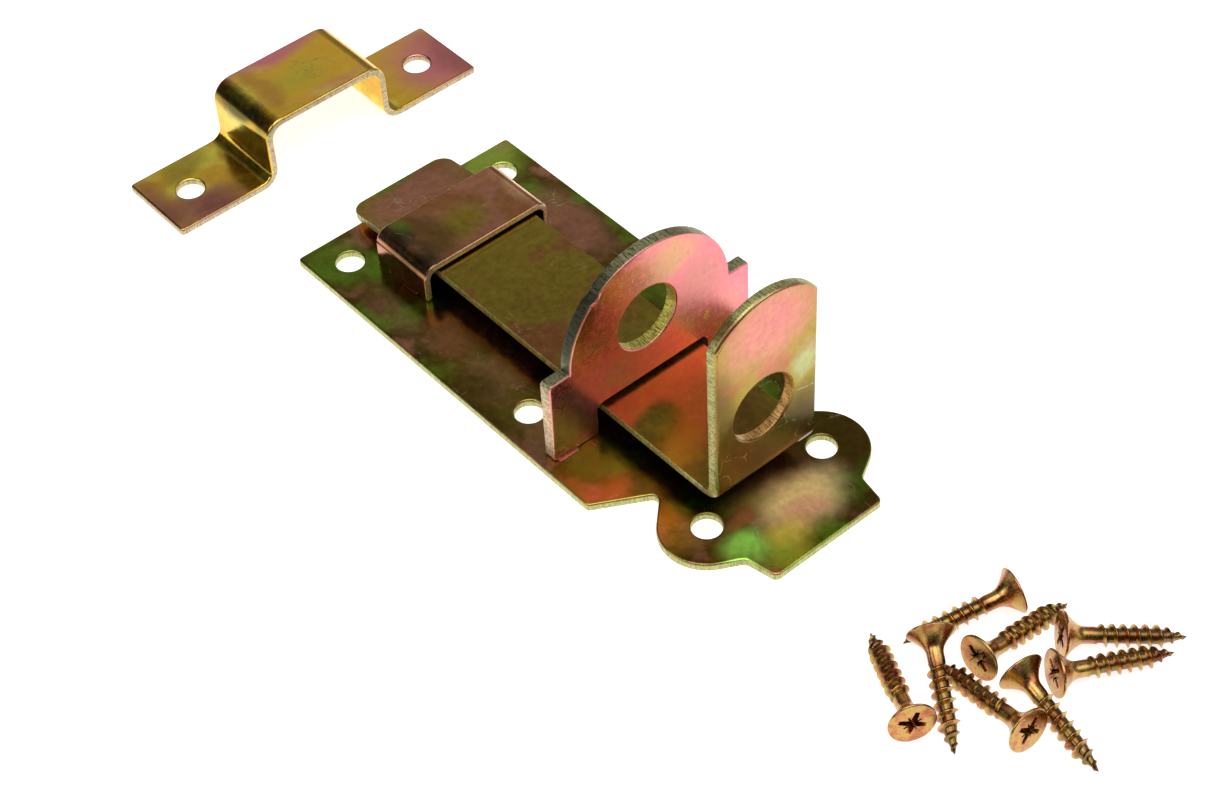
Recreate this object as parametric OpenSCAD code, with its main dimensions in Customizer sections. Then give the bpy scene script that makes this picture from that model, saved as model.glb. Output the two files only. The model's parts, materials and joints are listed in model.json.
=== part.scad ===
// Padlockable slide bolt for a door or chest, with its keeper and screws.
// A flat steel bolt slides in a bridge riveted to a mounting plate. Its turned-up
// lug closes on an upright staple, and a padlock goes through both.
//
// Frame: the origin is the middle of the four plate screw holes, on the plate's
// underside. +X runs along the bolt to its lug, +Z stands up off the door.

/* [Mounting plate] */
// Width of the plate
plate_w = 50; // [46:0.5:56]
// Length of the plate from its square end to its tip
plate_len = 116; // [112:0.5:124]
// Thickness of the plate
plate_t = 1.5; // [1.2:0.1:2]
// Hole spacing along the bolt
hole_dx = 52.5; // [50:0.5:54]
// Hole spacing across the bolt
hole_dy = 36.5; // [34:0.5:40]
// Spacing of the two holes in the rounded lobes
lobe_dy = 26.5; // [25:0.5:30]
// Diameter of every screw hole
hole_d = 5.4; // [4.6:0.1:6]

/* [Slide bolt] */
// Width of the bolt
bolt_w = 22.6; // [21:0.2:23]
// Thickness of the bolt
bolt_t = 2; // [1.6:0.1:2.2]
// Height of the bolt's underside above the door
bolt_z = 5.3; // [4.8:0.1:5.5]
// Height of the lug's crown above the door
lug_top = 46; // [42:0.5:50]
// Angle at which the bolt's nose dips
nose_dip = 6; // [0:0.5:7]
// Clearance above the bolt in the bridge
slide_gap = 0.5; // [0.3:0.1:0.8]
// Travel from open until the lug is against the staple
throw = 26.3; // [24:0.1:26.3]

/* [Padlock staple] */
// Thickness of the staple
staple_t = 2.5; // [2:0.1:3]
// Width of the staple across its shoulders
staple_w = 45.2; // [42:0.2:46]
// Height of the staple's crown above the door
staple_top = 37; // [35:0.5:40]
// Clearance above the bolt in the staple's window
window_gap = 0.9; // [0.4:0.1:1.4]
// Diameter of the padlock holes in the staple and the lug
lock_d = 13; // [11:0.5:14]
// Height of the padlock holes above the door
lock_z = 21.5; // [20:0.5:22.5]
// Sideways place of the padlock holes
lock_y = -0.8; // [-1.5:0.1:1.5]

/* [Bridge] */
// Length of the bridge along the bolt
bridge_len = 15; // [12:0.5:16]
// Width of the bridge outside
bridge_w = 29; // [28:0.5:31]
// Thickness of the bridge
bridge_t = 1.2; // [1:0.1:1.4]

/* [Keeper] */
// Width of the keeper, along the bolt
keeper_w = 18; // [15:0.5:20]
// Length of the keeper over its two feet
keeper_len = 71; // [68:0.5:76]
// Width of the keeper's arch outside
arch_w = 28.4; // [28:0.2:30]
// Height of the keeper's arch outside
arch_top = 14.2; // [12:0.2:16]
// Thickness of the keeper
keeper_t = 1.4; // [1.2:0.1:1.6]
// Hole spacing of the keeper
keeper_dy = 55; // [53:0.5:57]
// Gap from the plate's square end to the keeper's far edge
keeper_reach = 39.5; // [38:0.5:50]

/* [Screws] */
// Overall length of a screw
screw_len = 20.5; // [18:0.5:21]
// Diameter over the thread
thread_d = 4; // [3.6:0.1:4]
// Diameter of the countersunk head
head_d = 8; // [7.4:0.1:8]
// Rise of the thread for each turn
pitch = 1.8; // [1.6:0.1:2]

/* [Hidden] */
$fn = 48;

// Plate stations along X
rear_x = -hole_dx / 2 - 7.25;
tip_x = rear_x + plate_len;
lobe_x = hole_dx / 2 + 40.5;
shoulder_x = lobe_x - 17;
tip_half = 12.2;
lobe_r = 8.5;

// The staple stands across the bolt, and its tabs go down through the plate
staple_x = 36;
staple_half = staple_w / 2;
dome_r = 18;
window_half = 12.6;
window_top = bolt_z + bolt_t + window_gap;
shoulder_z = 19.3;
staple_tab = [17.5, 21.7];

// The bridge covers the bolt near the plate's square end
bridge_x = rear_x + 11;
bridge_top = bolt_z + bolt_t + slide_gap + bridge_t;
bridge_tab_len = 8;

// The bolt's nose starts just past the plate's square end
nose_x = rear_x - 1.5;
bend_x = bridge_x + bridge_len - 0.5;
lug_face_x = staple_x + staple_t + throw + 0.4 + bolt_t;
lug_half = bolt_w / 2;
lug_side_z = 40.4;

// The keeper lies in line with the bolt, a little to one side
keeper_x = rear_x - keeper_reach + keeper_w / 2;
keeper_y = -1;

// Where each loose screw lies: [x, y, z of its head's face, heading, dip, roll]
screw_lie = [
  [112, 12.5, 4.05, -107, 7.5, 10],
  [119.5, -18.5, 4.05, 153.5, 6.5, 20],
  [110, -5, 6.5, -34, 17, 0],
  [117.5, -2, 4.05, 88, 7.5, 30],
  [123, 11, 4.05, 52, 7.5, 5],
  [127.5, 4.5, 4.05, 64, 6, 25],
  [123.5, 1, 4.05, -10.5, 7.5, 0],
  [132.5, -6.5, 4.25, 177, 8.5, 40]
];
shank_d = 2.8;
core_d = 2.5;
head_h = 3.2;
neck_len = 5.4;
thread_turns = 7;

// Points of an arc about c, from angle a to angle b
function arc(c, r, a, b, n = 10) =
  [for (i = [0:n]) c + r * [cos(a + (b - a) * i / n), sin(a + (b - a) * i / n)]];

// The shorter way round from angle a to angle b
function turn(a, b) = (b - a + 540) % 360 - 180;

function unit(v) = v / norm(v);

// Corner q of an outline, rounded to radius r, between the points p and s
function soft_corner(p, q, s, r, n) =
  let (
    a = unit(p - q),
    b = unit(s - q),
    half = acos(a * b) / 2,
    c = q + unit(a + b) * r / sin(half),
    from = q + a * r / tan(half) - c,
    to = q + b * r / tan(half) - c,
    a0 = atan2(from.y, from.x),
    a1 = atan2(to.y, to.x)
  )
  arc(c, r, a0, a0 + turn(a0, a1), n);

// Outline through corners [x, y, radius]; a corner of radius 0 stays sharp
function outline(corners, n = 8) =
  let (m = len(corners))
  [for (i = [0:m - 1])
    let (
      p = corners[(i + m - 1) % m],
      q = corners[i],
      s = corners[(i + 1) % m]
    )
    each q[2] == 0
      ? [[q.x, q.y]]
      : soft_corner([p.x, p.y], [q.x, q.y], [s.x, s.y], q[2], n)];

// A half outline and its mirror image across the X axis
function both_sides(half) =
  concat(half, [for (i = [len(half) - 1:-1:0]) [half[i].x, -half[i].y, half[i][2]]]);

// Where a line from n, touching the circle (c, r), meets the circle's outermost
// line. side is 1 for a line that passes the circle on its rear, -1 on its front
function crest(n, c, r, side) =
  let (
    v = c - n,
    a = atan2(v.y, v.x) + side * asin(r / norm(v)),
    t = (c.y + r - n.y) / sin(a)
  )
  [n.x + t * cos(a), c.y + r, r];

// Turns a sheet profile drawn in [y, z] into a solid len long that starts at x
module across(x, len) {
  translate([x, 0, 0])
    rotate([90, 0, 90])
      linear_extrude(len)
        children();
}

// A pair of upright holes on the two sides of the X axis
module hole_pair(x, dy, y = 0) {
  for (side = [-1, 1])
    translate([x, y + side * dy / 2, -1])
      cylinder(d = hole_d, h = 5, $fn = 64);
}

// A pair of slots for the tabs of an upright part
module tab_slots(x, len, y0, y1) {
  for (side = [0, 1])
    mirror([0, side, 0])
      translate([x, y0, -1])
        cube([len, y1 - y0, 5]);
}

module mounting_plate() {
  lobe = [lobe_x, lobe_dy / 2];
  rear_notch = [lobe_x - 10.75, 14.3];
  front_notch = [lobe_x + 9.65, 13.4];
  half = [
    [rear_x, plate_w / 2, 0.8],
    [shoulder_x, plate_w / 2, 1],
    [rear_notch.x, rear_notch.y, 1.2],
    crest(rear_notch, lobe, lobe_r, 1),
    crest(front_notch, lobe, lobe_r, -1),
    [front_notch.x, front_notch.y, 1.6],
    [tip_x, tip_half, 1.3]
  ];
  color("darkkhaki")
    difference() {
      linear_extrude(plate_t)
        polygon(outline(both_sides(half)));
      hole_pair(-hole_dx / 2, hole_dy);
      hole_pair(hole_dx / 2, hole_dy);
      hole_pair(lobe_x, lobe_dy);
      tab_slots(staple_x - 0.1, staple_t + 0.5, staple_tab[0] - 0.15, staple_tab[1] + 0.15);
      tab_slots(bridge_x + (bridge_len - bridge_tab_len) / 2 - 0.1, bridge_tab_len + 0.2,
                bridge_w / 2 - bridge_t - 0.1, bridge_w / 2 + 0.1);
    }
}

// Cross-section [y, z] of the bridge: a top and two legs bent from one strip
module bridge_section() {
  out = bridge_w / 2;
  in = out - bridge_t;
  bend = 2.8;
  polygon(outline([
    [-out, 0, 0],
    [-out, bridge_top, bend],
    [out, bridge_top, bend],
    [out, 0, 0],
    [in, 0, 0],
    [in, bridge_top - bridge_t, bend - bridge_t],
    [-in, bridge_top - bridge_t, bend - bridge_t],
    [-in, 0, 0]
  ]));
}

module guide_bridge() {
  beside_tab = (bridge_len - bridge_tab_len) / 2;
  color("tan")
    difference() {
      across(bridge_x, bridge_len)
        bridge_section();
      for (x = [bridge_x - 1, bridge_x + bridge_len - beside_tab])
        translate([x, -bridge_w, -1])
          cube([beside_tab + 1, 2 * bridge_w, 1 + plate_t]);
    }
}

// Front view [y, z] of the staple: a dome on two shoulders, the window that the
// bolt passes through, and a tab under each leg
module staple_face() {
  arch_z = staple_top - dome_r;
  spring = asin((shoulder_z - arch_z) / dome_r);
  half = [
    [window_half, window_top, 1.3],
    [window_half, plate_t, 0.3],
    [staple_tab[0], plate_t, 0],
    [staple_tab[0], 0, 0],
    [staple_tab[1], 0, 0.4],
    [staple_tab[1], plate_t, 0],
    [staple_half, plate_t, 0.3],
    [staple_half, shoulder_z, 0.6],
    each [for (p = arc([0, arch_z], dome_r, spring, 90, 20)) [p.x, p.y, 0]]
  ];
  mirrored = [for (i = [len(half) - 2:-1:0]) [-half[i].x, half[i].y, half[i][2]]];
  polygon(outline(concat(half, mirrored), 5));
}

module padlock_staple() {
  color("salmon")
    difference() {
      across(staple_x, staple_t)
        staple_face();
      lock_bore(staple_x, staple_t);
    }
}

// The padlock hole through an upright part that starts at x
module lock_bore(x, t) {
  translate([x - 1, lock_y, lock_z])
    rotate([0, 90, 0])
      cylinder(d = lock_d, h = t + 2, $fn = 96);
}

// Side view [x, z] of the bolt: dipped nose, straight run and turned-up lug
module bolt_side() {
  run = bend_x - nose_x;
  drop = run * tan(nose_dip);
  face = lug_face_x;
  polygon(outline([
    [nose_x, bolt_z - drop, 0.3],
    [bend_x, bolt_z, 20],
    [face, bolt_z, bolt_t + 1],
    [face, lug_top + 1, 0],
    [face - bolt_t, lug_top + 1, 0],
    [face - bolt_t, bolt_z + bolt_t, 1],
    [bend_x, bolt_z + bolt_t, 18],
    [nose_x, bolt_z + bolt_t - drop, 0.3]
  ]));
}

// Plan view [x, y] of the bolt, with rounded nose corners
module bolt_plan() {
  polygon(outline([
    [nose_x - 0.5, -lug_half, 3],
    [nose_x - 0.5, lug_half, 3],
    [lug_face_x - 10, lug_half, 0],
    [lug_face_x - 10, -lug_half, 0]
  ]));
}

// Front view [y, z] of the bolt's lug, with its arched crown
module lug_front() {
  rise = lug_top - lug_side_z;
  r = (lug_half * lug_half + rise * rise) / (2 * rise);
  side = asin(lug_half / r);
  polygon(concat(
    [[-lug_half, 0], [lug_half, 0]],
    arc([0, lug_top - r], r, 90 - side, 90 + side, 24)
  ));
}

module slide_bolt() {
  color("goldenrod")
    difference() {
      intersection() {
        translate([0, lug_half, 0])
          rotate([90, 0, 0])
            linear_extrude(bolt_w)
              bolt_side();
        union() {
          linear_extrude(20)
            bolt_plan();
          across(lug_face_x - 10.5, 12)
            lug_front();
        }
      }
      lock_bore(lug_face_x - bolt_t, bolt_t);
    }
}

// Cross-section [y, z] of the keeper: an arch between two flat feet
module keeper_section() {
  out = arch_w / 2;
  end = keeper_len / 2;
  t = keeper_t;
  crown = 4;
  foot = 2.4;
  polygon(outline([
    [-end, 0, 0],
    [-end, t, 0],
    [-out, t, foot],
    [-out, arch_top, crown],
    [out, arch_top, crown],
    [out, t, foot],
    [end, t, 0],
    [end, 0, 0],
    [out - t, 0, foot + t],
    [out - t, arch_top - t, crown - t],
    [-out + t, arch_top - t, crown - t],
    [-out + t, 0, foot + t]
  ]));
}

module keeper() {
  color("plum")
    difference() {
      translate([0, keeper_y, 0])
        across(keeper_x - keeper_w / 2, keeper_w)
          keeper_section();
      hole_pair(keeper_x, keeper_dy, keeper_y);
    }
}

// Half profile [radius, z] of a screw that stands on its head's face and points up
function screw_profile() = concat(
  [[0, 0], [head_d / 2 - 0.15, 0], [head_d / 2, 0.2], [head_d / 2, 0.5]],
  [[2.6, 1.6], [1.75, 2.5], [shank_d / 2, head_h], [shank_d / 2, neck_len]],
  [for (i = [0:thread_turns - 1])
    let (z = neck_len + (i + 0.5) * pitch, r = i < thread_turns - 1 ? thread_d / 2 : 1.55)
    each [[core_d / 2, z - 0.55], [r, z - 0.08], [r, z + 0.08], [core_d / 2, z + 0.55]]],
  [[core_d / 2 - 0.15, screw_len - 2.4], [0.55, screw_len - 0.9], [0, screw_len]]
);

// The cross-shaped driver recess, sunk into the head's face, with its square middle
module recess() {
  for (a = [0, 90])
    rotate([0, 0, a])
      translate([-2.1, -0.45, -1])
        cube([4.2, 0.9, 2.6]);
  rotate([0, 0, 45])
    translate([-0.8, -0.8, -1])
      cube([1.6, 1.6, 3]);
}

module screw() {
  difference() {
    rotate_extrude($fn = 32)
      polygon(screw_profile());
    recess();
  }
}

// The loose screw with this number, where it lies
module loose_screw(number) {
  lie = screw_lie[number - 1];
  color("peru")
    translate([lie[0], lie[1], lie[2]])
      rotate([0, 90 + lie[4], lie[3]])
        rotate([0, 0, lie[5]])
          screw();
}

mounting_plate();
guide_bridge();
padlock_staple();
slide_bolt();
keeper();
for (number = [1:8])
  loose_screw(number);
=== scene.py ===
"""Looks of the padlockable slide bolt: pressed, yellow-chromated zinc-plated steel."""
import json
import math

import bmesh
import bpy
import numpy as np
from mathutils import Matrix, Vector, noise
from mathutils.geometry import delaunay_2d_cdt


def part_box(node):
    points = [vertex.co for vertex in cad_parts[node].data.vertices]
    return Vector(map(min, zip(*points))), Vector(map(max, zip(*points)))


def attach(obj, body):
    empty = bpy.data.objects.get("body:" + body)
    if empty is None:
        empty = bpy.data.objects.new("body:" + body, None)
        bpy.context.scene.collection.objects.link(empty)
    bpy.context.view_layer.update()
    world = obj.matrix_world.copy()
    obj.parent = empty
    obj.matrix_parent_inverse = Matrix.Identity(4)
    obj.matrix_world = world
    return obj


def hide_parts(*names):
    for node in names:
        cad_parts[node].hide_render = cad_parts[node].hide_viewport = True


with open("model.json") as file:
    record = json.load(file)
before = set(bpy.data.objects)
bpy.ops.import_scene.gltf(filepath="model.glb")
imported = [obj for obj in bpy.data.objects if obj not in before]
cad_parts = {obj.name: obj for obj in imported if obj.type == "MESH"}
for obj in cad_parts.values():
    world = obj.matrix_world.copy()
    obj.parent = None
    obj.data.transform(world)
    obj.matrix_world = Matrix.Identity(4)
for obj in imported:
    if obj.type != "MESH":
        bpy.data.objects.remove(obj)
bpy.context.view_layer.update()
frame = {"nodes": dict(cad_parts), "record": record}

MM = 0.001
IMAGE_W = 1214
SENSOR_MM = 36.0
SHARP_BEND = math.radians(42)
SHARP_THREAD = math.radians(38)

# ---------------------------------------------------------------- sizes, in mm

NODE_BOX = {}
for node_name in frame["nodes"]:
    low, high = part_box(node_name)
    NODE_BOX[node_name] = (low / MM, high / MM)
MOUNT = {m["name"]: m for m in frame["record"]["mounts"]}
HOLE_R = MOUNT["plate_holes"]["dims"]["hole_r_mm"]
LOCK_R = MOUNT["lug_lock_hole"]["dims"]["r_mm"]
LOCK_Z = MOUNT["lug_lock_hole"]["pos_m"][2] / MM
LOCK_Y = MOUNT["lug_lock_hole"]["pos_m"][1] / MM


def mount_holes(name):
    """Centres, in mm, of the holes of a bolt-pattern mount."""
    mount = MOUNT[name]
    x0, y0 = mount["pos_m"][0] / MM, mount["pos_m"][1] / MM
    half_x = mount["dims"].get("spacing_x_mm", 0) / 2
    half_y = mount["dims"]["spacing_y_mm"] / 2
    signs = (-1, 1) if half_x else (0,)
    return [(x0 + i * half_x, y0 + j * half_y) for i in signs for j in (-1, 1)]


# Meshing of a sheet, in millimetres: length of the triangles inside its faces, shortest
# edge that is kept, and distance at which points count as one
CAP_SPACING = 2.5
TINY_EDGE = 0.02
SAME_POINT = 1e-7

# ------------------------------------------------------------------- outlines


def arc(centre, r, a, b, n):
    """Points on a circle from angle a to angle b, in radians."""
    steps = [a + (b - a) * i / n for i in range(n + 1)]
    return [Vector((centre[0] + r * math.cos(t), centre[1] + r * math.sin(t))) for t in steps]


def turn(a, b):
    """The shorter way round from angle a to angle b."""
    return (b - a + 3 * math.pi) % (2 * math.pi) - math.pi


def soft_corner(p, q, s, r, n):
    """Corner q, rounded to radius r, between the points p and s."""
    a = (p - q).normalized()
    b = (s - q).normalized()
    half = a.angle(b) / 2
    c = q + (a + b).normalized() * (r / math.sin(half))
    start = q + a * (r / math.tan(half)) - c
    end = q + b * (r / math.tan(half)) - c
    a0 = math.atan2(start.y, start.x)
    a1 = math.atan2(end.y, end.x)
    return arc(c, r, a0, a0 + turn(a0, a1), n)


def outline(corners, n=8):
    """Closed outline through corners (x, y, radius)."""
    points = []
    for i, (x, y, r) in enumerate(corners):
        q = Vector((x, y))
        p = Vector(corners[i - 1][:2])
        s = Vector(corners[(i + 1) % len(corners)][:2])
        points += [q] if r == 0 else soft_corner(p, q, s, r, n)
    return points


def both_sides(half):
    """A half outline and its mirror image across the X axis."""
    return list(half) + [(x, -y, r) for x, y, r in reversed(half)]


def round_hole(centre, r, n=48):
    """Points round a hole, the opposite way to an outline."""
    return arc(centre, r, 2 * math.pi, 2 * math.pi / n, n - 1)


def box_hole(x0, y0, x1, y1, r=0.25):
    """A slot with small corner radii, the opposite way to an outline."""
    corners = [(x0, y0, r), (x1, y0, r), (x1, y1, r), (x0, y1, r)]
    return list(reversed(outline(corners, 3)))


def crest(n, c, r, side):
    """Where a line from n that touches the circle (c, r) meets its outermost line."""
    v = Vector(c) - Vector(n)
    a = math.atan2(v.y, v.x) + side * math.asin(r / v.length)
    t = (c[1] + r - n[1]) / math.sin(a)
    return (n[0] + t * math.cos(a), c[1] + r, r)


def evened(loop, step):
    """The loop with its long edges cut into lengths of at most step, and no tiny ones."""
    loop = [q for p, q in zip(loop[-1:] + loop[:-1], loop) if (q - p).length > TINY_EDGE]
    points = []
    for p, q in zip(loop, loop[1:] + loop[:1]):
        count = max(1, math.ceil((q - p).length / step))
        points += [p.lerp(q, i / count) for i in range(count)]
    return points


# ---------------------------------------------------------------- bent sheets


class Path:
    """The line that a sheet follows, through corners (a, b, radius)."""

    def __init__(self, corners):
        self.parts = []
        self.length = 0.0
        at = Vector(corners[0][:2])
        for i in range(1, len(corners)):
            q = Vector(corners[i][:2])
            heading = (q - at).normalized()
            if i == len(corners) - 1:
                self._line(at, heading, (q - at).length)
                break
            r = corners[i][2]
            out = (Vector(corners[i + 1][:2]) - q).normalized()
            swing = turn(math.atan2(heading.y, heading.x), math.atan2(out.y, out.x))
            cut = r * math.tan(abs(swing) / 2)
            self._line(at, heading, (q - at).length - cut)
            self._arc(q - heading * cut, heading, r, swing)
            at = q + out * cut

    def _line(self, p, heading, length):
        self.parts.append(("line", self.length, length, p, heading, 0.0))
        self.length += length

    def _arc(self, p, heading, r, swing):
        length = r * abs(swing)
        self.parts.append(("arc", self.length, length, p, heading, swing / length))
        self.length += length

    def at(self, s):
        """Point, heading and curvature at the length s along the path."""
        for kind, start, length, p, heading, curve in self.parts:
            last = start + length >= self.length - 1e-9
            if s <= start + length or last:
                break
        u = s - start
        if kind == "line":
            return p + heading * u, heading, 0.0
        a = math.atan2(heading.y, heading.x)
        b = a + curve * u
        point = p + Vector((math.sin(b) - math.sin(a), math.cos(a) - math.cos(b))) / curve
        return point, Vector((math.cos(b), math.sin(b))), curve

    def cuts(self, swing=math.radians(5)):
        """Lengths at which a flat sheet is cut across so that it can bend."""
        stations = []
        for kind, start, length, _, _, curve in self.parts:
            if kind == "arc":
                count = max(2, math.ceil(abs(curve) * length / swing))
                stations += [start + length * i / count for i in range(count + 1)]
        return stations


def flat_place(origin, s_axis, w_axis, n_axis):
    """Places a sheet that isn't bent."""
    o, es, ew, en = (Vector(v) for v in (origin, s_axis, w_axis, n_axis))

    def place(s, w, n):
        return o + es * s + ew * w + en * n

    return place


def bent_place(path, plane, thickness, swell=0.14):
    """Places a sheet along a path. plane is "xz" with the width on Y, or "yz" with it on X.

    swell widens the sheet on the inside of a bend and narrows it on the outside: at 1,
    its two faces differ in width by a tenth.
    """

    def place(s, w, n):
        point, heading, curve = path.at(s)
        across = Vector((-heading.y, heading.x))
        point = point + across * n
        middle = n - (thickness / 2 if n >= 0 else -thickness / 2)
        w = w * (1 + swell / 10 * middle / thickness * max(-1, min(1, 3 * curve)))
        if plane == "xz":
            return Vector((point.x, w, point.y))
        return Vector((w, point.x, point.y))

    return place


def rim_profile(t, roll, burr, low=0.0, steps=5, roll_on_top=True):
    """Cross-section of a punched edge as (inset, height, cut), from one face to the other.

    cut is 1 where the metal tore, and falls from 0.6 to 0 round the rolled edge.
    """
    profile = [(burr, 0.0, 0.0), (0.3 * burr, 0.3 * burr, 0.6), (0.0, burr, 1.0)]
    land = t - roll
    torn = (land - burr) * 0.96
    for share in (0.33, 0.66, 1.0):
        profile.append((0.0, burr + torn * share, 1.0))
    for i in range(steps + 1):
        a = math.pi / 2 * i / steps
        cut = 0.6 * (1.0 - i / steps)
        profile.append((roll * (1 - math.cos(a)), land + roll * math.sin(a), cut))
    if not roll_on_top:
        profile = [(inset, t - height, cut) for inset, height, cut in reversed(profile)]
    return [(inset, height + low, cut) for inset, height, cut in profile]


def inset_loop(loop, distance):
    """The loop moved sideways, into the metal on its left."""
    moved = []
    for i, q in enumerate(loop):
        e0 = (q - loop[i - 1]).normalized()
        e1 = (loop[(i + 1) % len(loop)] - q).normalized()
        n0 = Vector((-e0.y, e0.x))
        n1 = Vector((-e1.y, e1.x))
        moved.append(q + (n0 + n1) * (distance / max(0.3, 1 + n0.dot(n1))))
    return moved


def inside(points, loops):
    """Which points lie in the metal: inside the outline and outside every hole."""
    x, y = points[:, 0], points[:, 1]
    odd = np.zeros(len(points), bool)
    for loop in loops:
        for p, q in zip(loop, np.roll(loop, -1, 0)):
            if p[1] == q[1]:
                continue
            crosses = (p[1] > y) != (q[1] > y)
            odd ^= crosses & (x < (q[0] - p[0]) * (y - p[1]) / (q[1] - p[1]) + p[0])
    return odd


def filling_points(loops, spacing, stations):
    """Evenly spread points inside the outline, clear of its edges, and on the bends."""
    edge = np.concatenate(loops)
    low, high = edge.min(0), edge.max(0)
    columns = list(np.arange(low[0] + spacing, high[0], spacing))
    columns = [c for c in columns if all(abs(c - s) > spacing * 0.4 for s in stations)]
    rows = np.arange(low[1] + spacing / 2, high[1], spacing)
    points = np.array([(x, y) for x in sorted(columns + list(stations)) for y in rows])
    points = points[inside(points, loops)]
    gap = np.sqrt(((points[:, None, :] - edge[None, :, :]) ** 2).sum(2)).min(1)
    return points[gap > spacing * 0.35]


def fill_cap(bm, rings, spacing, stations, side, cap_layer):
    """Closes one face of a sheet with even triangles between its rings of vertices."""
    height = rings[0][0].co.z
    loops = [np.array([(v.co.x, v.co.y) for v in ring]) for ring in rings]
    extra = filling_points(loops, spacing, stations)
    coords = [Vector(c) for c in np.concatenate(loops + [extra])]
    edges, start = [], 0
    for loop in loops:
        count = len(loop)
        edges += [(start + i, start + (i + 1) % count) for i in range(count)]
        start += count
    points, _, triangles, origins, _, _ = delaunay_2d_cdt(coords, edges, [], 2, SAME_POINT)
    ring_verts = [v for ring in rings for v in ring]
    verts = []
    for co, origin in zip(points, origins):
        known = [k for k in origin if k < start]
        if known:
            verts.append(ring_verts[known[0]])
        else:
            verts.append(bm.verts.new((co.x, co.y, height)))
    middles = np.array([sum((points[k] for k in tri), Vector((0, 0))) / 3 for tri in triangles])
    for tri, in_metal in zip(triangles, inside(middles, loops)):
        if in_metal:
            face = bm.faces.new([verts[k] for k in tri])
            face[cap_layer] = side


def sheet(name, loops, profile, place, stations=(), rough=0.03, step=0.8):
    """A pressed sheet as one closed mesh.

    loops are its outline and its holes, in millimetres on the flat blank. profile is
    the shape of the edge, or one shape for each loop. place turns (along, across, up)
    into the part's frame.
    """
    bm = bmesh.new()
    cut_layer = bm.verts.layers.float.new("cut")
    flat_layer = bm.verts.layers.float_vector.new("flat")
    spot_layer = bm.verts.layers.float_vector.new("spot")
    cap_layer = bm.faces.layers.int.new("cap")
    low_rings, high_rings = [], []
    profiles = profile if isinstance(profile[0], list) else [profile] * len(loops)
    for loop, edge_profile in zip(loops, profiles):
        loop = with_stations(evened(loop, step), stations)
        rings = []
        for inset, height, cut in edge_profile:
            ring = []
            for i, q in enumerate(inset_loop(loop, inset)):
                if cut == 1:
                    p = loop[i]
                    shift = rough * noise.noise(Vector((p.x * 2.1, p.y * 2.1, height * 3.0)))
                    q = q + (q - loop[i - 1]).normalized().orthogonal() * shift
                vert = bm.verts.new((q.x, q.y, height))
                vert[cut_layer] = cut
                ring.append(vert)
            rings.append(ring)
        join_rings(bm, rings)
        low_rings.append(rings[0])
        high_rings.append(rings[-1])
    fill_cap(bm, low_rings, CAP_SPACING, stations, -1, cap_layer)
    fill_cap(bm, high_rings, CAP_SPACING, stations, 1, cap_layer)
    normals = []
    for vert in bm.verts:
        s, w, n = vert.co
        vert[flat_layer] = (s, w, n)
        normals.append(surface_normal(place, s, w, n))
        point = place(s, w, n)
        vert[spot_layer] = point
        vert.co = Vector((point.x, point.y, max(0.0, point.z))) * MM
    return finished(name, bm, cap_layer, normals)


def with_stations(loop, stations):
    """The loop with a vertex wherever it crosses a bend's station."""
    points = []
    for p, q in zip(loop, loop[1:] + loop[:1]):
        points.append(p)
        low, high = sorted((p.x, q.x))
        crossed = [s for s in stations if low + TINY_EDGE < s < high - TINY_EDGE]
        crossed.sort(reverse=q.x < p.x)
        points += [p.lerp(q, (s - p.x) / (q.x - p.x)) for s in crossed]
    return points


def surface_normal(place, s, w, n):
    """The normal of the placed sheet's upper face."""
    e = 0.01
    along = place(s + e, w, n) - place(s - e, w, n)
    across = place(s, w + e, n) - place(s, w - e, n)
    return along.cross(across).normalized()


def join_rings(bm, rings):
    for a, b in zip(rings, rings[1:]):
        for i in range(len(a)):
            j = (i + 1) % len(a)
            bm.faces.new((a[i], a[j], b[j], b[i]))


def finished(name, bm, cap_layer, normals):
    """Turns bmesh into an object, smooth, with true normals on its two faces."""
    bmesh.ops.recalc_face_normals(bm, faces=bm.faces[:])
    if bm.calc_volume(signed=True) < 0:
        bmesh.ops.reverse_faces(bm, faces=bm.faces[:])
    bm.normal_update()
    bm.verts.index_update()
    custom = []
    for face in bm.faces:
        face.smooth = True
        for loop in face.loops:
            n = normals[loop.vert.index]
            n = n if n.dot(face.normal) > 0 else -n
            custom.append(tuple(n) if face[cap_layer] else (0.0, 0.0, 0.0))
    mesh = bpy.data.meshes.new(name)
    bm.to_mesh(mesh)
    bm.free()
    mesh.set_sharp_from_angle(angle=SHARP_BEND)
    mesh.normals_split_custom_set(custom)
    obj = bpy.data.objects.new(name, mesh)
    bpy.context.scene.collection.objects.link(obj)
    return obj


# --------------------------------------------------------------------- pieces

# Outer sizes are those of the CAD nodes' boxes. Sheet thicknesses, tabs and the bolt's
# height, which a box doesn't give, are the CAD parts' own.
PLATE_LOW, PLATE_HIGH = NODE_BOX["mounting_plate"]
PLATE_T = PLATE_HIGH.z
BRIDGE_LOW, BRIDGE_HIGH = NODE_BOX["guide_bridge"]
BRIDGE_T = 1.2
BRIDGE_TAB = 8.0
STAPLE_LOW, STAPLE_HIGH = NODE_BOX["padlock_staple"]
STAPLE_T = STAPLE_HIGH.x - STAPLE_LOW.x
STAPLE_TAB = (17.5, 21.7)
BOLT_LOW, BOLT_HIGH = NODE_BOX["slide_bolt"]
BOLT_T = 2.0
BOLT_Z = 5.3
NOSE_DIP = math.radians(6)
KEEPER_LOW, KEEPER_HIGH = NODE_BOX["keeper"]
KEEPER_T = 1.4
KEEPER_ARCH = 28.4


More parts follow.
